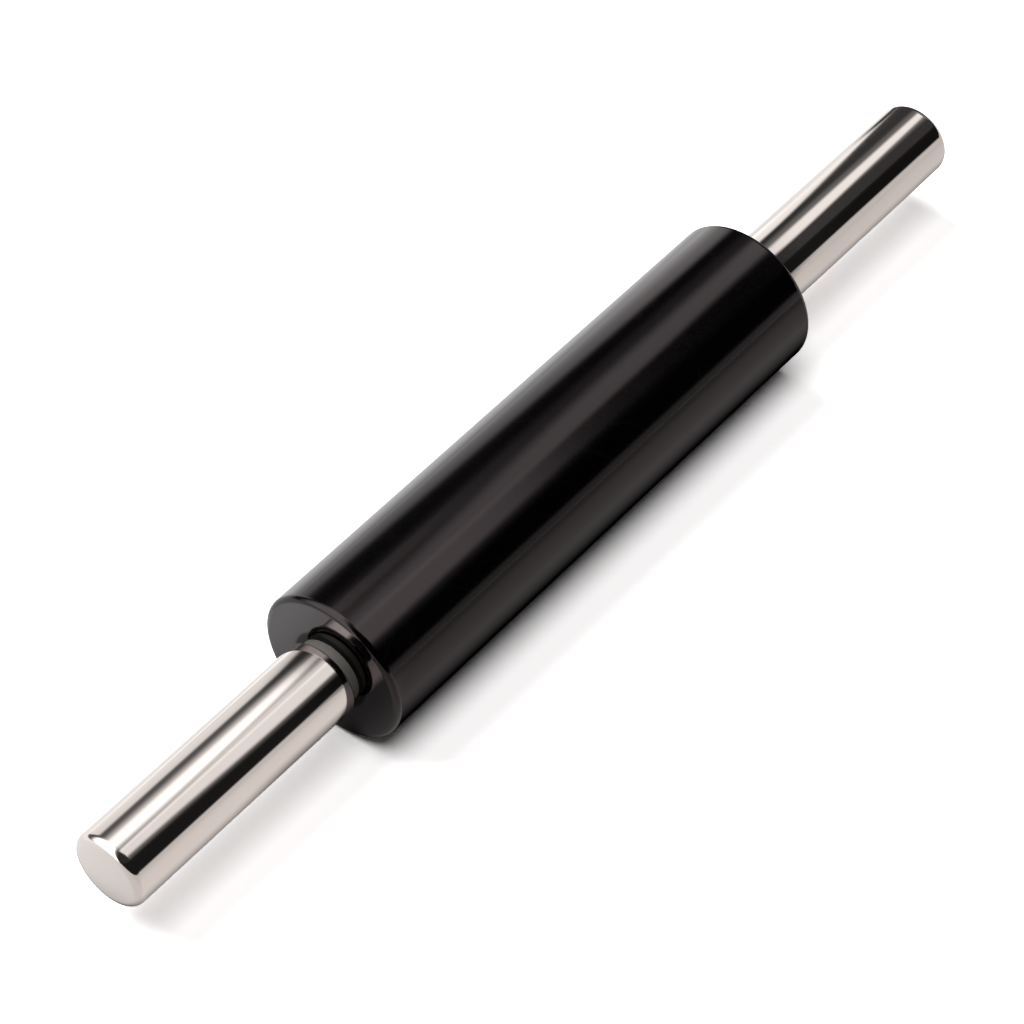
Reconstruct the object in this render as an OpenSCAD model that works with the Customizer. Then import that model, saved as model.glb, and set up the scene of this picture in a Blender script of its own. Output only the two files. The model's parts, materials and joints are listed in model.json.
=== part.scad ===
/* [Barrel] */
// Diameter of the stone barrel
barrel_d = 60; // [50:1:80]
// Length of the stone barrel
barrel_l = 237; // [180:1:280]
// Rounding of the barrel's two rims
barrel_rim_r = 2.2; // [0.5:0.1:3]
// Diameter of the bore that runs right through the barrel
barrel_bore_d = 17; // [14:0.5:18]

/* [Handles] */
// Length of the whole pin, from handle end to handle end
overall_l = 460; // [420:1:600]
// Outside diameter of the drawn steel shells
handle_d = 30; // [28:0.5:36]
// Wall of the drawn steel shells
shell_wall = 1; // [0.6:0.1:1.2]
// Rounding of the closed outer end of a shell
handle_end_r = 3.2; // [1.5:0.1:4]
// Rounding of the lip at the inner end of a shell
handle_lip_r = 0.9; // [0.5:0.1:1]
// Gap between the barrel's face and the handle
handle_gap = 4.4; // [4:0.1:10]

/* [Neck and bearings] */
// Diameter of the bearing housing, seen as the neck
neck_d = 25.5; // [23:0.5:26]
// Depth that the housing is pressed into the barrel
housing_depth = 16; // [12:0.5:30]
// Running gap between the housing and the handle
running_gap = 0.5; // [0.3:0.1:1]
// Outside diameter of the ball bearing
bearing_d = 19; // [18:0.5:20]
// Width of the ball bearing
bearing_w = 6; // [5:0.5:8]
// Diameter of one ball
ball_d = 3.5; // [3:0.1:3.6]
// Number of balls in each bearing
ball_count = 7; // [5:1:8]

/* [Axle and fasteners] */
// Diameter of the axle rod
axle_d = 8; // [6:0.5:8]
// Length of axle that screws into each handle
axle_grip_l = 27; // [20:1:45]
// Width across the flats of the lock nut
nut_af = 13; // [12:0.5:13]
// Height of the lock nut
nut_h = 4; // [3:0.5:6]

/* [Hidden] */
$fn = 96;

// Which end of the pin a piece is for
LEFT = -1;
RIGHT = 1;

// Overlap of a cutting shape past the face it cuts
CUT = 1;
// Radial clearance of a piece that slides or presses into another
SLIP = 0.02;
// Radial clearance of a turned piece next to a still one
CLEAR = 0.3;
// Clearance of a ball in its grooves, all round
BALL_CLEAR = 0.05;

// Radii of the main pieces
barrel_r = barrel_d / 2;
handle_r = handle_d / 2;
neck_r = neck_d / 2;
axle_r = axle_d / 2;
shell_bore_r = handle_r - shell_wall;
lip_w = 1;
lip_bore_r = shell_bore_r - lip_w;

// Radii in the bearing; the lands are the races' faces on each side of the ball groove
race_r = bearing_d / 2;
ball_r = ball_d / 2;
pitch_r = (axle_r + race_r) / 2;
groove_r = ball_r + BALL_CLEAR;
land_step = 1;
inner_land_r = pitch_r - land_step;
outer_land_r = pitch_r + land_step;
seat_lip_w = 2.25;
seat_lip_r = race_r - seat_lip_w;

// Radii of the pieces on the axle
ring_groove_depth = 0.2;
ring_groove_r = axle_r - ring_groove_depth;
ring_w = 1.7;
ring_r = axle_r + ring_w;
spacer_step = 0.15;
spacer_r = inner_land_r - spacer_step;
washer_r = nut_af / 2;
nut_r = nut_af / 2 / cos(30);
nut_pocket_clear = 0.7;
nut_pocket_r = nut_r + nut_pocket_clear;
insert_wall = 3;
insert_r = axle_r + insert_wall;
insert_flange_w = 1.5;
insert_flange_r = insert_r + insert_flange_w;

// Places along the axis, counted from the middle of the pin towards a handle
face_u = barrel_l / 2;
housing_u = face_u - housing_depth;
bearing_u = face_u - bearing_w;
ball_u = face_u - bearing_w / 2;
handle_u = face_u + handle_gap;
neck_end_u = handle_u - running_gap;
cap_set_back = 0.2;
cap_end_u = neck_end_u - cap_set_back;
ring_t = 0.8;
ring_u = bearing_u - ring_t;
spacer_in_handle = 2;
spacer_end_u = handle_u + spacer_in_handle;
washer_t = 2;
nut_u = spacer_end_u + washer_t;
insert_u = nut_u + nut_h;
insert_flange_t = 2;
insert_l = 20;
core_u = insert_u + insert_flange_t;
axle_end_u = insert_u + axle_grip_l;
shell_end_u = overall_l / 2;
core_end_u = shell_end_u - shell_wall;

// Stands the axis of a turned piece along X, at the height of the resting pin
module on_axis(side) {
  translate([0, 0, barrel_r])
    mirror([side == LEFT ? 1 : 0, 0, 0])
      rotate([0, 90, 0])
        children();
}

// Half section of a ring, from u0 to u1 along the axis
module ring_section(inner_r, outer_r, u0, u1) {
  translate([inner_r, u0]) square([outer_r - inner_r, u1 - u0]);
}

// The waste outside a rounded corner at radius r; dir is 1 where the piece ends at u
module corner_waste(r, u, round_r, dir) {
  translate([r, u])
    mirror([0, dir > 0 ? 0 : 1])
      difference() {
        translate([-round_r, -round_r]) square(round_r + CUT);
        translate([-round_r, -round_r]) circle(round_r);
      }
}

// The waste outside a 45 degree chamfer at radius r; dir is 1 where the piece ends at u
module chamfer_waste(r, u, leg, dir) {
  translate([r, u])
    mirror([0, dir > 0 ? 0 : 1])
      polygon([[-leg, 0], [0, -leg], [CUT, -leg], [CUT, CUT], [-leg, CUT]]);
}

// Stone barrel, bored through, with a seat for a bearing housing in each face
module barrel() {
  color([0.06, 0.055, 0.06])
    on_axis(RIGHT)
      rotate_extrude()
        difference() {
          ring_section(barrel_bore_d / 2, barrel_r, -face_u, face_u);
          ring_section(0, neck_r + SLIP, housing_u, face_u + CUT);
          ring_section(0, neck_r + SLIP, -face_u - CUT, -housing_u);
          corner_waste(barrel_r, face_u, barrel_rim_r, 1);
          corner_waste(barrel_r, -face_u, barrel_rim_r, -1);
        }
}

// Steel rod through the barrel, with a ring groove and a chamfered end at each side
module axle() {
  end_chamfer = 1;
  color([0.62, 0.62, 0.63])
    on_axis(RIGHT)
      rotate_extrude()
        difference() {
          ring_section(0, axle_r, -axle_end_u, axle_end_u);
          ring_section(ring_groove_r, axle_r + CUT, ring_u, bearing_u);
          ring_section(ring_groove_r, axle_r + CUT, -bearing_u, -ring_u);
          chamfer_waste(axle_r, axle_end_u, end_chamfer, 1);
          chamfer_waste(axle_r, -axle_end_u, end_chamfer, -1);
        }
}

// Dark sleeve pressed into the barrel: the visible neck, with the bearing's seat inside
module bearing_housing(side) {
  outer_edge_r = 0.4;
  color([0.24, 0.235, 0.225])
    on_axis(side)
      rotate_extrude()
        difference() {
          ring_section(seat_lip_r, neck_r, housing_u, neck_end_u);
          ring_section(0, race_r + SLIP, bearing_u, neck_end_u + CUT);
          corner_waste(neck_r, neck_end_u, outer_edge_r, 1);
        }
}

// Ring that closes the neck and keeps the outer race on its seat
module dust_cap(side) {
  rim_w = 1.3;
  rim_l = 1.2;
  color([0.12, 0.12, 0.12])
    on_axis(side)
      rotate_extrude()
        difference() {
          ring_section(spacer_r + CLEAR, race_r, face_u, cap_end_u);
          ring_section(0, race_r - rim_w, face_u - CUT, face_u + rim_l);
        }
}

// Ball groove of both races, drawn where the ball's centre runs
module ball_groove() {
  translate([pitch_r, ball_u]) circle(groove_r);
}

// Outer race, on its seat in the housing
module outer_race(side) {
  color([0.7, 0.7, 0.72])
    on_axis(side)
      rotate_extrude()
        difference() {
          ring_section(outer_land_r, race_r, bearing_u, face_u);
          ball_groove();
        }
}

// Inner race, on the axle
module inner_race(side) {
  color([0.7, 0.7, 0.72])
    on_axis(side)
      rotate_extrude()
        difference() {
          ring_section(axle_r + SLIP, inner_land_r, bearing_u, face_u);
          ball_groove();
        }
}

// Puts its child at each ball's place around the axis
module at_each_ball() {
  for (i = [0 : ball_count - 1])
    rotate([0, 0, i * 360 / ball_count])
      translate([pitch_r, 0, ball_u])
        children();
}

// The balls of one bearing
module bearing_balls(side) {
  color([0.8, 0.8, 0.82])
    on_axis(side)
      at_each_ball() sphere(ball_r);
}

// Cage that spaces the balls, with a round pocket for each
module bearing_cage(side) {
  cage_wall = 1.2;
  side_clear = 0.5;
  pocket_r = ball_r + 2 * BALL_CLEAR;
  color([0.75, 0.6, 0.3])
    on_axis(side)
      difference() {
        rotate_extrude()
          ring_section(
            pitch_r - cage_wall / 2, pitch_r + cage_wall / 2,
            bearing_u + side_clear, face_u - side_clear
          );
        at_each_ball()
          rotate([0, 90, 0]) cylinder(r = pocket_r, h = 2 * cage_wall, center = true);
      }
}

// Open ring sprung into the axle's groove, against the inner race
module retaining_ring(side) {
  mouth_w = 3;
  lug_r = 1.2;
  lug_hole_r = 0.5;
  lug_in = 0.9;
  lug_aside = 1.1;
  lug_at = [ring_r - lug_in, mouth_w / 2 + lug_aside];
  color([0.45, 0.45, 0.46])
    on_axis(side)
      translate([0, 0, ring_u])
        linear_extrude(ring_t)
          difference() {
            union() {
              circle(ring_r);
              translate(lug_at) circle(lug_r);
              translate([lug_at[0], -lug_at[1]]) circle(lug_r);
            }
            circle(ring_groove_r + SLIP);
            translate([0, -mouth_w / 2]) square([2 * ring_r, mouth_w]);
            translate(lug_at) circle(lug_hole_r);
            translate([lug_at[0], -lug_at[1]]) circle(lug_hole_r);
          }
}

// Tube on the axle, from the inner race out through the neck to the lock washer
module spacer(side) {
  color([0.62, 0.62, 0.63])
    on_axis(side)
      rotate_extrude()
        ring_section(axle_r + SLIP, spacer_r, face_u, spacer_end_u);
}

// Split spring washer between the spacer and the lock nut
module lock_washer(side) {
  split_w = 1;
  bore_clear = 0.1;
  color([0.5, 0.5, 0.52])
    on_axis(side)
      translate([0, 0, spacer_end_u])
        difference() {
          rotate_extrude() ring_section(axle_r + bore_clear, washer_r, 0, washer_t);
          translate([0, -split_w / 2, -CUT]) cube([2 * washer_r, split_w, washer_t + 2 * CUT]);
        }
}

// Thin hexagon nut that holds the bearing stack and stops the handle
module lock_nut(side) {
  color([0.6, 0.6, 0.62])
    on_axis(side)
      translate([0, 0, nut_u])
        difference() {
          cylinder(r = nut_r, h = nut_h, $fn = 6);
          translate([0, 0, -CUT]) cylinder(r = axle_r + SLIP, h = nut_h + 2 * CUT);
        }
}

// Flanged brass insert that screws on the axle's threaded end
module threaded_insert(side) {
  groove_depth = 0.8;
  groove_l = 2;
  groove_pitch = 5;
  groove_count = 3;
  color([0.78, 0.62, 0.28])
    on_axis(side)
      rotate_extrude()
        difference() {
          union() {
            ring_section(axle_r + SLIP, insert_r, insert_u, insert_u + insert_l);
            ring_section(axle_r + SLIP, insert_flange_r, insert_u, core_u);
          }
          for (i = [1 : groove_count])
            translate([0, insert_u + i * groove_pitch - groove_l / 2])
              ring_section(insert_r - groove_depth, insert_r + CUT, 0, groove_l);
        }
}

// Black plug behind the shell's lip, with the nut's pocket
module end_bush(side) {
  nose_back = 0.3;
  color([0.08, 0.08, 0.08])
    on_axis(side)
      rotate_extrude()
        difference() {
          union() {
            ring_section(nut_pocket_r, lip_bore_r - SLIP, handle_u + nose_back, core_u);
            ring_section(nut_pocket_r, shell_bore_r - SLIP, handle_u + shell_wall, core_u);
          }
          ring_section(0, insert_flange_r + SLIP, insert_u, core_u + CUT);
        }
}

// Moulded core that fills the shell and holds the insert
module handle_core(side) {
  tip_clear = 2;
  edge_r = handle_end_r - shell_wall;
  color([0.85, 0.83, 0.76])
    on_axis(side)
      rotate_extrude()
        difference() {
          ring_section(0, shell_bore_r - SLIP, core_u, core_end_u - SLIP);
          ring_section(0, insert_r + SLIP, core_u - CUT, insert_u + insert_l);
          ring_section(0, axle_r + SLIP, core_u - CUT, axle_end_u + tip_clear);
          corner_waste(shell_bore_r - SLIP, core_end_u - SLIP, edge_r, 1);
        }
}

// Drawn steel shell: closed rounded end, lip turned in at the inner end
module handle_shell(side) {
  inner_edge_r = handle_end_r - shell_wall;
  color([0.82, 0.78, 0.76])
    on_axis(side)
      rotate_extrude()
        difference() {
          ring_section(0, handle_r, handle_u, shell_end_u);
          difference() {
            ring_section(0, shell_bore_r, handle_u + shell_wall, core_end_u);
            corner_waste(shell_bore_r, core_end_u, inner_edge_r, 1);
          }
          ring_section(0, lip_bore_r, handle_u - CUT, handle_u + shell_wall + CUT);
          corner_waste(handle_r, shell_end_u, handle_end_r, 1);
          corner_waste(handle_r, handle_u, handle_lip_r, -1);
        }
}

barrel();
axle();
bearing_housing(LEFT);  // left_bearing_housing
bearing_housing(RIGHT);  // right_bearing_housing
dust_cap(LEFT);  // left_dust_cap
dust_cap(RIGHT);  // right_dust_cap
outer_race(LEFT);  // left_outer_race
outer_race(RIGHT);  // right_outer_race
bearing_balls(LEFT);  // left_bearing_balls
bearing_balls(RIGHT);  // right_bearing_balls
bearing_cage(LEFT);  // left_bearing_cage
bearing_cage(RIGHT);  // right_bearing_cage
inner_race(LEFT);  // left_inner_race
inner_race(RIGHT);  // right_inner_race
retaining_ring(LEFT);  // left_retaining_ring
retaining_ring(RIGHT);  // right_retaining_ring
spacer(LEFT);  // left_spacer
spacer(RIGHT);  // right_spacer
lock_washer(LEFT);  // left_lock_washer
lock_washer(RIGHT);  // right_lock_washer
lock_nut(LEFT);  // left_lock_nut
lock_nut(RIGHT);  // right_lock_nut
threaded_insert(LEFT);  // left_threaded_insert
threaded_insert(RIGHT);  // right_threaded_insert
end_bush(LEFT);  // left_end_bush
end_bush(RIGHT);  // right_end_bush
handle_core(LEFT);  // left_handle_core
handle_core(RIGHT);  // right_handle_core
handle_shell(LEFT);  // left_handle_shell
handle_shell(RIGHT);  // right_handle_shell
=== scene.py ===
import json
import math

import bpy
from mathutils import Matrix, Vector


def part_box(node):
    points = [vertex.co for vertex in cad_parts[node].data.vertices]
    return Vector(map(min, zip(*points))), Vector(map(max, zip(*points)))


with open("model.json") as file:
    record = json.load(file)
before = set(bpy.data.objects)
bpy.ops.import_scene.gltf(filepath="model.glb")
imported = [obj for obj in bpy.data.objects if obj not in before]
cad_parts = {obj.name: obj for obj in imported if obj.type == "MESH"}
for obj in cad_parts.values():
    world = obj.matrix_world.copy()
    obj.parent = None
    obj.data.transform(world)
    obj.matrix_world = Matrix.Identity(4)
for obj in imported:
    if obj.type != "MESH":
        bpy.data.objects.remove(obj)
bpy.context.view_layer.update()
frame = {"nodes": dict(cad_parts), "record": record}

# Camera, in the frame of the part. Angles are in degrees, the lens and the sensor in millimetres
CAMERA_PLACE = (-0.7140, -0.5611, 1.0026)
CAMERA_YAW = 38.966
CAMERA_PITCH = -47.585
CAMERA_LENS = 131.03
SENSOR_WIDTH = 36.0
CLIP_START = 0.01
CLIP_END = 50.0

# Two wide lamps. The angle is round the pin, from the far horizon over the top, and the level is
# what the lamp gives the floor
LAMPS = {
    "lamp_over": {"angle": 100.4, "width": 34.5, "level": 0.42},
    "lamp_behind": {"angle": 54.5, "width": 39.4, "level": 0.56},
}
# How far both lean towards the left end of the pin
LAMP_LEAN = 9.0
# Even light from the whole sky on matt surfaces
AMBIENT_LEVEL = 0.03

FLOOR_SIZE = 12.0
FLOOR_GREY = 0.95
# How much darker the paper is between its fibres
FIBRE_CONTRAST = 0.015
# A little warm, which shows in the shadow only
FLOOR_TINT = (1.0, 0.985, 0.982)
# Tints of the painted reflection of the paper that polish sees, in front of the pin and behind it
MIRRORED_FRONT = (1.0, 0.973, 0.955)
MIRRORED_BACK = (0.990, 1.0, 1.0)
# The exposure burns the paper out, so the camera sees it this much brighter
FLOOR_BURN = 2.2
# Share of its light that the paper throws back at the object
FLOOR_BOUNCE = 0.5

# The stone's polish reflects slightly warm where it is seen face on
WARM_GLOSS = (1.0, 0.84, 0.86)
# Width of the barrel's rounded rims, where the polish is duller, and of their dullest part
RIM = 0.0022
RIM_DULLEST = RIM * 0.6
# Depths below the barrel's side at which its rougher polish starts and is complete
SIDE_POLISH_START = 0.0012
SIDE_POLISH_END = 0.0002
# Distances from the axis between which the dull stone round the bore turns into polish
BORE_POLISH = (0.0150, 0.0166)
# How glossy the stone is, and how much less so on its rims and round the bore
STONE_GLOSS = 0.5
RIM_LOSS = 0.25
BORE_LOSS = 0.42

PLASTICS = {
    "neck_plastic": {
        "dark": (0.115, 0.108, 0.099),
        "light": (0.135, 0.127, 0.116),
        "roughness": 0.46,
        "grain_depth": 0.000004,
    },
    "black_plastic": {
        "dark": (0.008, 0.008, 0.008),
        "light": (0.014, 0.014, 0.013),
        "roughness": 0.36,
        "grain_depth": 0.000006,
    },
    "core_plastic": {
        "dark": (0.50, 0.47, 0.39),
        "light": (0.58, 0.55, 0.47),
        "roughness": 0.42,
        "grain_depth": 0.000006,
    },
}
METALS = {
    "bearing_steel": {
        "dark": (0.52, 0.52, 0.53),
        "light": (0.62, 0.62, 0.63),
        "roughness": 0.10,
        "lines_per_m": 4200.0,
        "line_depth": 0.0000008,
    },
    "bright_steel": {
        "dark": (0.44, 0.44, 0.45),
        "light": (0.56, 0.56, 0.56),
        "roughness": 0.20,
        "lines_per_m": 2600.0,
        "line_depth": 0.0000030,
    },
    "spring_steel": {
        "dark": (0.10, 0.10, 0.11),
        "light": (0.20, 0.20, 0.21),
        "roughness": 0.28,
        "lines_per_m": 1800.0,
        "line_depth": 0.0000030,
    },
    "cage_brass": {
        "dark": (0.50, 0.35, 0.13),
        "light": (0.66, 0.48, 0.20),
        "roughness": 0.22,
        "lines_per_m": 3000.0,
        "line_depth": 0.0000020,
    },
    "insert_brass": {
        "dark": (0.56, 0.40, 0.15),
        "light": (0.70, 0.52, 0.22),
        "roughness": 0.18,
        "lines_per_m": 2200.0,
        "line_depth": 0.0000030,
    },
}

# Places along the pin between which the mirrored paper changes: in the middle, at the left end and
# at the right end
LEFT_TO_RIGHT = (-0.12, 0.12)
LEFT_END = (-0.245, -0.228)
RIGHT_END = (0.26, 0.29)
# Distances from the middle between which the paper passes out from beside the barrel
BARREL_SIDE = (0.135, 0.175)
# Slants of the lines of paper that one place on the pin mirrors: how far to the right they run for
# each metre away from the pin, behind it and in front of it, towards its left and its right end
BACK_SLANT_LEFT = 0.45
BACK_SLANT_RIGHT = 0.80
BACK_SLANT_END = 0.83
FRONT_SLANT_LEFT = 0.53
FRONT_SLANT_RIGHT = 0.76
# Level of the painted reflection of the paper in front of the pin's right half
PAPER_LEVEL = 0.785
# Share of that level which the painted shadow leaves right under the pin
PAINTED_SHADOW_SHARE = 0.12
# Level of the dark strip that the right end mirrors
DARK_STRIP_LEVEL = 0.08

# Leans to the right between which one piece stops or starts to mirror the studio
LEFT_HANDLE_END = (0.458, 0.467)
BARREL_START = (0.455, 0.470)
BARREL_END = (0.603, 0.612)
RIGHT_HANDLE_START = (0.600, 0.612)
# The rounded left end mirrors leans below this one
ROUNDED_END = 0.25
# Leans at which the edges of what is mirrored turn: on the left handle, on the barrel and past it
LEFT_TURN = 0.45
BARREL_TURN = 0.49
RIGHT_TURN = 0.61
# Angle at which the sweep behind the pin ends on the left handle, and the highest on the barrel
SWEEP_TOP_LEFT = 28.0
SWEEP_TOP_BARREL = 33.5
# Its level on the left handle, and the highest on the barrel
SWEEP_LEVEL_LEFT = 0.95
SWEEP_LEVEL_BARREL = 1.3
# Level of the same sweep low on the camera's side, as the handles mirror it
SWEEP_LEVEL_BEFORE = 0.68
# Level of the dark room, and the share of its glow that is left low on the camera's side
ROOM_LEVEL = 0.012
NEAR_ROOM_SHARE = 0.4
# Level of the soft box beyond the pin, and of the one overhead as all but the right handle mirror it
FAR_BOX_LEVEL = 1.41
TOP_BOX_LEVEL = 0.72
# Depth below the horizon at which the sky has turned into paper
HORIZON_DEPTH = 0.004

barrel_low, barrel_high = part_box("barrel")
AXIS_Z = (barrel_low.z + barrel_high.z) / 2
BARREL_R = (barrel_high.z - barrel_low.z) / 2
FACE_X = barrel_high.x


class Value:
    """A number in a node tree. Arithmetic on it adds math nodes."""

    def __init__(self, tree, socket):
        self.tree = tree
        self.socket = socket

    def math(self, operation, *others):
        made = self.tree.nodes.new("ShaderNodeMath")
        made.operation = operation
        for place, value in enumerate((self, *others)):
            connect(self.tree, value, made.inputs[place])
        return Value(self.tree, made.outputs[0])

    def __add__(self, other):
        return self.math("ADD", other)

    def __sub__(self, other):
        return self.math("SUBTRACT", other)

    def __mul__(self, other):
        return self.math("MULTIPLY", other)

    def __neg__(self):
        return self * -1

    def at_least(self, other):
        return self.math("MAXIMUM", other)

    def at_most(self, other):
        return self.math("MINIMUM", other)

    def past(self, start):
        """How far the number is past start, or 0."""
        return (self - start).at_least(0.0)

    def short_of(self, end):
        """How far the number is short of end, or 0."""
        return (-self + end).at_least(0.0)

    def towards(self, goal, share):
        """The number, moved a share of the way to goal."""
        return share * (-self + goal) + self

    def rise(self, start, end):
        """0 before start and 1 after end, with a smooth step between them."""
        made = self.tree.nodes.new("ShaderNodeMapRange")
        made.interpolation_type = "SMOOTHSTEP"
        connect(self.tree, self, made.inputs["Value"])
        connect(self.tree, start, made.inputs["From Min"])
        connect(self.tree, end, made.inputs["From Max"])
        return Value(self.tree, made.outputs["Result"])

    def fall(self, start, end):
        """1 before start and 0 after end."""
        return -self.rise(start, end) + 1


def connect(tree, value, socket):
    """Links a Value or an output socket to an input, or writes a constant into it."""
    if isinstance(value, Value):
        value = value.socket
    if isinstance(value, bpy.types.NodeSocket):
        tree.links.new(value, socket)
    else:
        socket.default_value = value


def add(tree, kind, inputs=None, **settings):
    """New node with its settings and inputs."""
    made = tree.nodes.new(kind)
    for name, value in settings.items():
        setattr(made, name, value)
    for name, value in (inputs or {}).items():
        connect(tree, value, made.inputs[name])
    return made


def split(tree, vector):
    """The x, y and z of a vector, as Values."""
    made = add(tree, "ShaderNodeSeparateXYZ", {0: vector})
    return [Value(tree, made.outputs[name]) for name in "XYZ"]


def join(tree, x, y, z):
    """A vector or colour from its three parts."""
    return add(tree, "ShaderNodeCombineXYZ", {0: x, 1: y, 2: z}).outputs[0]


def mix_colours(tree, share, first, second):
    """Colour between the first, at a share of 0, and the second."""
    # Inputs 6 and 7 are the two colours of a Mix node
    made = add(tree, "ShaderNodeMix", data_type="RGBA")
    connect(tree, share, made.inputs["Factor"])
    connect(tree, first, made.inputs[6])
    connect(tree, second, made.inputs[7])
    return made.outputs[2]


def rgba(colour):
    """The colour with full opacity."""
    return (*colour, 1.0)


def noise(tree, vector, scale, detail=4.0, roughness=0.5, distortion=0.0):
    """Noise from 0 to 1 at a vector."""
    inputs = {
        "Vector": vector,
        "Scale": scale,
        "Detail": detail,
        "Roughness": roughness,
        "Distortion": distortion,
    }
    return Value(tree, add(tree, "ShaderNodeTexNoise", inputs).outputs["Fac"])


def object_point(tree):
    """Where the surface is, in metres."""
    return add(tree, "ShaderNodeTexCoord").outputs["Object"]


def round_the_axis(tree):
    """How far along the pin's axis, how far out from it and the angle round it."""
    x, y, z = split(tree, object_point(tree))
    z = z - AXIS_Z
    out = (y * y + z * z).math("SQRT")
    angle = z.math("ARCTAN2", y)
    return x, out, angle


def turned_lines(tree, lines_per_m, drift):
    """Fine rings, as a lathe or a polishing wheel leaves them.

    drift is how much they change round the piece.
    """
    x, out, angle = round_the_axis(tree)
    vector = join(tree, x * lines_per_m, out * lines_per_m, angle.math("SINE") * drift)
    return noise(tree, vector, scale=1.0, detail=3.0, roughness=0.6)


def bump(tree, height, depth):
    """Normal of a relief this many metres deep."""
    inputs = {"Strength": 1.0, "Distance": depth, "Height": height}
    return add(tree, "ShaderNodeBump", inputs).outputs["Normal"]


def new_material(name):
    """Empty material with a Principled shader."""
    material = bpy.data.materials.new(name)
    material.use_nodes = True
    tree = material.node_tree
    return material, tree, tree.nodes["Principled BSDF"]


def fill(tree, shader, **sockets):
    """Sets or links the shader's sockets. Their names have _ in place of a space."""
    for name, value in sockets.items():
        connect(tree, value, shader.inputs[name.replace("_", " ")])


def stone_colour(tree, grain, cloud):
    """Almost black, with slightly lighter grains and very faint veins."""
    dark = rgba((0.0002, 0.0002, 0.0002))
    light = rgba((0.0006, 0.0005, 0.0006))
    grain_tone = rgba((0.0018, 0.0016, 0.0017))
    vein_tone = rgba((0.0030, 0.0026, 0.0027))
    # A vein runs where this noise crosses its middle
    folds = noise(tree, object_point(tree), scale=14.0, detail=6.0, distortion=1.6)
    vein = (folds - 0.5).math("ABSOLUTE").fall(0.0, 0.018)
    ground = mix_colours(tree, cloud.rise(0.35, 0.70), dark, light)
    speckled = mix_colours(tree, grain.rise(0.56, 0.72), ground, grain_tone)
    return mix_colours(tree, vein * 0.5, speckled, vein_tone)


def black_stone():
    """Polished black stone, rougher on the side than on the faces.

    Its rims and the ring round its bore mirror less.
    """
    material, tree, shader = new_material("black_stone")
    point = object_point(tree)
    grain = noise(tree, point, scale=900.0, detail=3.0)
    cloud = noise(tree, point, scale=26.0, detail=5.0, distortion=0.6)
    x, out, _ = round_the_axis(tree)
    on_side = out.rise(BARREL_R - SIDE_POLISH_START, BARREL_R - SIDE_POLISH_END)
    by_side = out.rise(BARREL_R - RIM, BARREL_R - RIM_DULLEST)
    by_face = x.math("ABSOLUTE").rise(FACE_X - RIM, FACE_X - RIM_DULLEST)
    by_bore = out.fall(*BORE_POLISH)
    gloss = by_side * by_face * -RIM_LOSS - by_bore * BORE_LOSS + STONE_GLOSS
    fill(
        tree,
        shader,
        Base_Color=stone_colour(tree, grain, cloud),
        Roughness=on_side * 0.045 + grain * 0.03 + cloud * 0.03 + 0.03,
        IOR=1.61,
        Specular_IOR_Level=gloss,
        Specular_Tint=rgba(WARM_GLOSS),
        Normal=bump(tree, grain, depth=0.0000012),
    )
    return material


def polished_stainless():
    """Mirror-polished drawn steel with faint polishing lines."""
    material, tree, shader = new_material("polished_stainless")
    dark = rgba((0.69, 0.625, 0.590))
    light = rgba((0.73, 0.665, 0.630))
    lines = turned_lines(tree, lines_per_m=5200.0, drift=1.5)
    cloud = noise(tree, object_point(tree), scale=60.0)
    fill(
        tree,
        shader,
        Base_Color=mix_colours(tree, cloud, dark, light),
        Metallic=1.0,
        Roughness=lines * 0.035 + cloud * 0.02 + 0.03,
        Normal=bump(tree, lines, depth=0.0000004),
    )
    return material


def moulded_plastic(name, dark, light, roughness, grain_depth):
    """Moulded plastic with a fine grain and slightly uneven colour."""
    material, tree, shader = new_material(name)
    point = object_point(tree)
    grain = noise(tree, point, scale=2600.0, detail=2.0)
    cloud = noise(tree, point, scale=90.0, detail=5.0)
    fill(
        tree,
        shader,
        Base_Color=mix_colours(tree, cloud, rgba(dark), rgba(light)),
        Roughness=cloud * 0.08 + grain * 0.06 + roughness,
        IOR=1.5,
        Normal=bump(tree, grain, grain_depth),
    )
    return material


def turned_metal(name, dark, light, roughness, lines_per_m, line_depth):
    """Turned or ground metal: fine rings, cloudy tone and a rougher grain between the lines."""
    material, tree, shader = new_material(name)
    lines = turned_lines(tree, lines_per_m, drift=0.8)
    cloud = noise(tree, object_point(tree), scale=140.0, detail=5.0)
    fill(
        tree,
        shader,
        Base_Color=mix_colours(tree, lines * 0.5 + cloud * 0.5, rgba(dark), rgba(light)),
        Metallic=1.0,
        Roughness=lines * 0.12 + cloud * 0.08 + roughness,
        Normal=bump(tree, lines, line_depth),
    )
    return material


def make_materials():
    """One material for each material slot in the record."""
    materials = {"black_stone": black_stone(), "polished_stainless": polished_stainless()}
    for name, finish in PLASTICS.items():
        materials[name] = moulded_plastic(name, **finish)
    for name, finish in METALS.items():
        materials[name] = turned_metal(name, **finish)
    return materials


def paint_nodes(materials):
    """Gives each CAD node the material of its slot in the record."""
    slots = {p["node"]: p["material_slot"] for p in frame["record"]["subparts"]}
    for name, piece in frame["nodes"].items():
        piece.data.materials.clear()
        piece.data.materials.append(materials[slots[name]])


def in_view(ray, kind):
    """1 for a ray of this kind that hasn't met a matt surface on its way from the camera."""
    unmet = Value(ray.id_data, ray.outputs["Diffuse Depth"]).math("LESS_THAN", 0.5)
    return Value(ray.id_data, ray.outputs[kind]) * unmet


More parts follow.
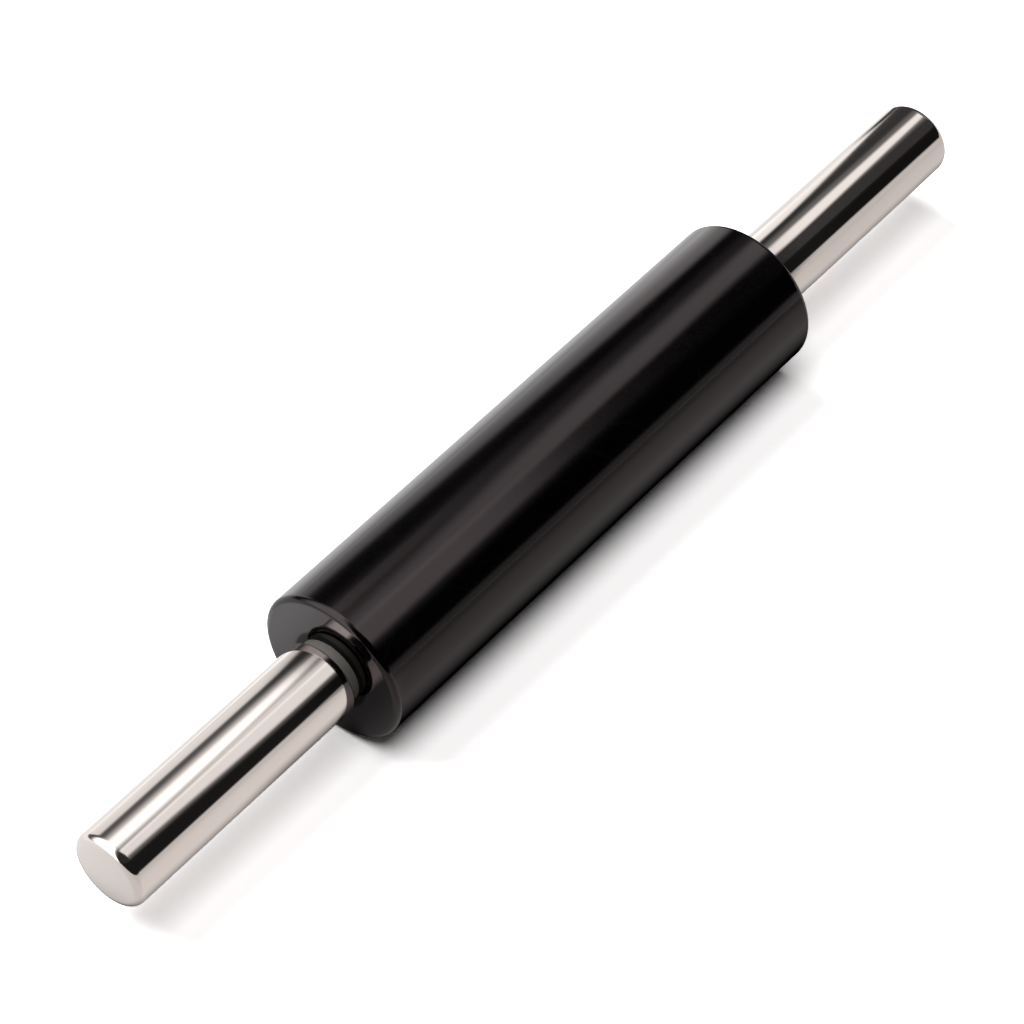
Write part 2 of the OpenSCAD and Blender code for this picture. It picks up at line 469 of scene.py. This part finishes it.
def open_paper(x, y):
    """Level of the painted reflection of the paper away from its painted shadow, with painted light
    brighter behind the pin and towards its left.
    """
    near = -y
    on_left = x.fall(*LEFT_TO_RIGHT)
    more_behind = y.rise(-0.02, 0.05) * (on_left * -0.06 + 0.22)
    less_past_end = x.fall(*LEFT_END) * near.rise(-0.05, 0.0) * 0.10
    less_in_front = near.rise(0.03, 0.25) * 0.075
    return on_left * 0.11 + PAPER_LEVEL + more_behind - less_past_end - less_in_front


def painted_light_under_pin(x, y):
    """Share of the light painted on the paper under the pin, which is a painted shadow. It is 1 past
    both ends.
    """
    past_ends = x.fall(*LEFT_END) + x.rise(*RIGHT_END)
    # The painted shadow reaches further out in front of the barrel than in front of the handles
    by_barrel = x.math("ABSOLUTE").fall(*BARREL_SIDE)
    in_front = -y - by_barrel * 0.008 - x.fall(*LEFT_TO_RIGHT) * 0.002
    clear_of_pin = in_front.rise(-0.008, 0.038).at_least(y.rise(0.005, 0.05))
    light = clear_of_pin * (1 - PAINTED_SHADOW_SHARE) + PAINTED_SHADOW_SHARE
    return light.towards(1.0, past_ends)


def change_behind(level, x, y):
    """The level with the painted light and shade that change it behind the pin.

    Each line holds the x at which a slanted line of paper meets the pin's axis.
    """
    left_line = x - y * BACK_SLANT_LEFT
    more_right = y.rise(0.06, 0.22) * (left_line.rise(-0.07, 0.35) * 0.52 - 0.07)
    # A painted pool of light, where the lamp behind the pin would light the paper
    lit = y.rise(0.07, 0.15) * y.fall(0.18, 0.50) * x.rise(-0.12, -0.05) * x.fall(0.10, 0.22)
    level = level + more_right + lit * 0.36

    right_line = x - y * BACK_SLANT_RIGHT
    left_end = left_line.fall(-0.21, -0.14) * y.rise(0.08, 0.20)
    barrel_end = right_line.rise(0.02, 0.08) * right_line.fall(0.10, 0.11) * y.rise(0.15, 0.30)
    right_handle = right_line.rise(0.110, 0.122) * y.rise(0.09, 0.17)
    level = level * (left_end * 0.22 + barrel_end * 0.25 - right_handle * 0.19 + 1)

    end_line = x - y * BACK_SLANT_END
    dark_strip = end_line.rise(0.188, 0.212) * y.rise(0.09, 0.16)
    return level.towards(DARK_STRIP_LEVEL, dark_strip)


def change_before_barrel(level, x, y):
    """The level with painted shade on the paper that only the barrel mirrors: dark at its foot and
    about half the open level beyond.
    """
    near = -y
    left_line = x - near * FRONT_SLANT_LEFT
    right_line = x - near * FRONT_SLANT_RIGHT
    mirrored = left_line.rise(-0.130, -0.123) * right_line.fall(0.118, 0.124)
    # Painted shade: from dark at the barrel's foot to about half the open level further out
    painted_shade_level = near.rise(0.026, 0.065) * 0.445 - near.rise(0.07, 0.50) * 0.20
    return level.towards(painted_shade_level, mirrored * near.rise(0.0, 0.01))


def paper_in_polish(x, y):
    """How bright polished surfaces see the paper at a place on it: a painted reflection, with
    painted shadow under the pin and painted light and shade round it.
    """
    level = open_paper(x, y) * painted_light_under_pin(x, y)
    return change_before_barrel(change_behind(level, x, y), x, y)


def white_sweep():
    """Matt white paper with a faint fibre, burnt out for the camera. Polished surfaces see a glowing
    painted reflection of it in its place.
    """
    material, tree, shader = new_material("white_sweep")
    tree.nodes.remove(shader)
    point = object_point(tree)
    x, y, _ = split(tree, point)
    fibre = noise(tree, point, scale=400.0, detail=3.0)
    ray = add(tree, "ShaderNodeLightPath")
    seen = Value(tree, ray.outputs["Is Camera Ray"])
    grey = fibre * FIBRE_CONTRAST + (FLOOR_GREY - FIBRE_CONTRAST)
    grey = grey * (seen * (FLOOR_BURN - FLOOR_BOUNCE) + FLOOR_BOUNCE)
    colour = join(tree, *(grey * share for share in FLOOR_TINT))
    paper = add(tree, "ShaderNodeBsdfDiffuse", {"Color": colour})
    tint = mix_colours(tree, y.rise(-0.02, 0.02), rgba(MIRRORED_FRONT), rgba(MIRRORED_BACK))
    # Glossy rays from the camera see this glowing painted reflection, with its painted shadow and
    # light, instead of the lit paper
    mirrored = add(tree, "ShaderNodeEmission", {"Color": tint, "Strength": paper_in_polish(x, y)})
    choice = add(tree, "ShaderNodeMixShader", {0: in_view(ray, "Is Glossy Ray")})
    connect(tree, paper.outputs[0], choice.inputs[1])
    connect(tree, mirrored.outputs[0], choice.inputs[2])
    connect(tree, choice.outputs[0], tree.nodes["Material Output"].inputs["Surface"])
    return material


class Reflected:
    """Where a reflected direction points, and which piece mirrors it.

    around is the angle round the pin's axis: 0 at the far horizon, 90 overhead, 180 at the near
    horizon. along is how far the direction leans towards the right end of the pin, and past_end how
    far it leans past what the left handle's side mirrors. The last four are 1 where that part of
    the pin mirrors the direction, and 0 elsewhere.
    """

    def __init__(self, tree, direction):
        self.along, y, self.height = split(tree, direction)
        self.around = self.height.math("ARCTAN2", y) * math.degrees(1)
        self.past_end = self.along.short_of(ROUNDED_END)
        self.in_left_handle = self.along.fall(*LEFT_HANDLE_END)
        self.past_left_handle = self.along.rise(*BARREL_START)
        self.in_barrel = self.past_left_handle * self.along.fall(*BARREL_END)
        self.in_right_handle = self.along.rise(*RIGHT_HANDLE_START)


def sweep_behind(at):
    """The white sweep behind the pin, which ends at an angle that changes along it."""
    # It ends higher and higher along the barrel, and drops away past both ends
    top_along_barrel = at.along * 150 - 55
    top = at.past_left_handle * (top_along_barrel - SWEEP_TOP_LEFT) + SWEEP_TOP_LEFT
    top = top.at_most(at.in_right_handle * 2 + SWEEP_TOP_BARREL)
    past_barrel = at.along.past(RIGHT_TURN).at_most(0.045)
    top = top - past_barrel * (past_barrel * 16250 + 680) - at.past_end.at_most(0.15) * 180

    # It is brighter and brighter along the barrel, and a little duller higher up
    level_along_barrel = at.along * 5 - 1.67
    level = at.past_left_handle * (level_along_barrel - SWEEP_LEVEL_LEFT) + SWEEP_LEVEL_LEFT
    level = level.at_most(SWEEP_LEVEL_BARREL)
    level = level * (at.around.rise(-2, 20) * (at.in_barrel * -0.16 - 0.10) + 1)
    level = level * (at.in_barrel * at.along.rise(0.56, 0.60) * 0.16 + 1)
    return at.around.fall(top - 7, top + 6) * level


def room_glow(at):
    """The dim room between the lights, which is darker low on the camera's side."""
    ceiling = at.around.rise(46, 66) * at.around.fall(92, 108) * 0.15
    on_barrel = at.in_barrel * at.around.fall(55, 72) * 0.02

    by_barrel = at.along.fall(0.612, 0.625) * at.around.rise(60, 90) * 0.015
    on_right = at.in_right_handle * (at.around.fall(131, 143) * 0.026 + by_barrel + 0.009)

    overhead = at.around.rise(70, 84) * at.around.fall(90, 99) * 0.22
    beyond = at.along.fall(0.445, 0.465) * at.around.fall(50, 60) * 0.09
    on_left = at.in_left_handle * (overhead + 0.02) + beyond
    glow = ceiling + ROOM_LEVEL + on_barrel + on_right + on_left
    return glow * (at.around.fall(132, 136) * (1 - NEAR_ROOM_SHARE) + NEAR_ROOM_SHARE)


def far_box(at):
    """The soft box beyond the pin that the left handle mirrors, and the barrel's edge faintly."""
    end = at.around.past(66) * -0.0028 + 0.500
    box = (at.around + at.past_end * 55).rise(38, 78) * at.around.fall(80, 97)
    box = box * at.along.fall(end - 0.020, end + 0.012) * at.in_left_handle
    edge = at.around.rise(56, 62) * at.around.fall(70, 77) * at.along.fall(0.49, 0.53)
    return box * (at.past_end.rise(0.15, 0.35) * 1.2 + FAR_BOX_LEVEL) + edge * 0.25


def top_box(at):
    """The long soft box overhead, which the right handle sees brightest."""
    # It starts further back along the barrel, and more sharply on the right handle
    start = at.along.short_of(LEFT_TURN) * 230 + 85.5
    start = (start - at.along.past(BARREL_TURN) * 225).at_least(71.0)
    start = start + at.in_right_handle * 2.5 - 8
    fade = at.in_right_handle * -8.5 + 20
    end = at.along.past(RIGHT_TURN) * -310 - at.along.rise(0.575, 0.595) * at.in_barrel * 5 + 102
    level = at.along.rise(0.598, 0.612) * (1 - TOP_BOX_LEVEL) + TOP_BOX_LEVEL
    return at.around.rise(start, start + fade) * at.around.fall(end - 4.5, end + 4.5) * level


def near_box(at):
    """The soft box on the camera's side, over the left half of the pin."""
    end = at.along.past(LEFT_TURN) * -80 - at.along.short_of(0.41) * 60
    end = end - at.along.short_of(LEFT_TURN).at_most(0.04) * 250 + 133
    fade = at.around.fall(end - 5, end + 5) * 0.85 + at.around.fall(end, end + 15) * 0.15
    return at.around.rise(95, 105) * fade * at.along.fall(0.520, 0.550)


def sweep_before(at):
    """The rest of the sweep, low on the camera's side."""
    start = (at.around - at.in_left_handle * 3).rise(168, 174)
    return start * (at.in_barrel * -0.44 + SWEEP_LEVEL_BEFORE)


def reflected_studio(tree, direction):
    """What polished surfaces see above the floor, by direction."""
    at = Reflected(tree, direction)
    boxes = far_box(at) + top_box(at) + near_box(at)
    above = sweep_behind(at) + room_glow(at) + boxes + sweep_before(at)
    return above.towards(1.0, at.height.fall(-HORIZON_DEPTH, 0.0))


def make_world():
    """White for the camera, even light for matt surfaces, and the studio for polished ones."""
    world = bpy.data.worlds.new("studio")
    bpy.context.scene.world = world
    world.use_nodes = True
    tree = world.node_tree
    direction = add(tree, "ShaderNodeTexCoord").outputs["Generated"]
    studio = reflected_studio(tree, direction)
    ray = add(tree, "ShaderNodeLightPath")
    seen = Value(tree, ray.outputs["Is Camera Ray"])
    seen = seen.at_least(Value(tree, ray.outputs["Is Transmission Ray"]))
    level = in_view(ray, "Is Glossy Ray") * (studio - AMBIENT_LEVEL) + AMBIENT_LEVEL
    background = tree.nodes["Background"]
    background.inputs["Color"].default_value = rgba((1.0, 1.0, 1.0))
    connect(tree, level.towards(1.0, seen), background.inputs["Strength"])


def make_lamps():
    """Wide soft lamps, which aren't reflected themselves."""
    lean = math.radians(LAMP_LEAN)
    across = math.cos(lean)
    for name, setting in LAMPS.items():
        angle = math.radians(setting["angle"])
        towards_light = Vector(
            (-math.sin(lean), across * math.cos(angle), across * math.sin(angle))
        )
        data = bpy.data.lights.new(name, "SUN")
        data.angle = math.radians(setting["width"])
        data.energy = setting["level"] * math.pi / towards_light.z
        lamp = bpy.data.objects.new(name, data)
        bpy.context.scene.collection.objects.link(lamp)
        lamp.rotation_mode = "QUATERNION"
        lamp.rotation_quaternion = towards_light.to_track_quat("Z", "Y")
        lamp.visible_glossy = False


def make_floor():
    mesh = bpy.data.meshes.new("floor")
    half = FLOOR_SIZE / 2
    corners = [(-half, -half, 0), (half, -half, 0), (half, half, 0), (-half, half, 0)]
    mesh.from_pydata(corners, [], [(0, 1, 2, 3)])
    mesh.materials.append(white_sweep())
    floor = bpy.data.objects.new("floor", mesh)
    bpy.context.scene.collection.objects.link(floor)


def make_camera():
    data = bpy.data.cameras.new("camera")
    data.sensor_width = SENSOR_WIDTH
    data.lens = CAMERA_LENS
    data.clip_start = CLIP_START
    data.clip_end = CLIP_END
    camera = bpy.data.objects.new("camera", data)
    bpy.context.scene.collection.objects.link(camera)
    yaw, pitch = math.radians(CAMERA_YAW), math.radians(CAMERA_PITCH)
    forward = Vector(
        (math.cos(pitch) * math.cos(yaw), math.cos(pitch) * math.sin(yaw), math.sin(pitch))
    )
    camera.location = CAMERA_PLACE
    camera.rotation_mode = "QUATERNION"
    camera.rotation_quaternion = forward.to_track_quat("-Z", "Y")
    bpy.context.scene.camera = camera


paint_nodes(make_materials())
make_world()
make_lamps()
make_floor()
make_camera()
bpy.context.scene.view_settings.view_transform = "Standard"
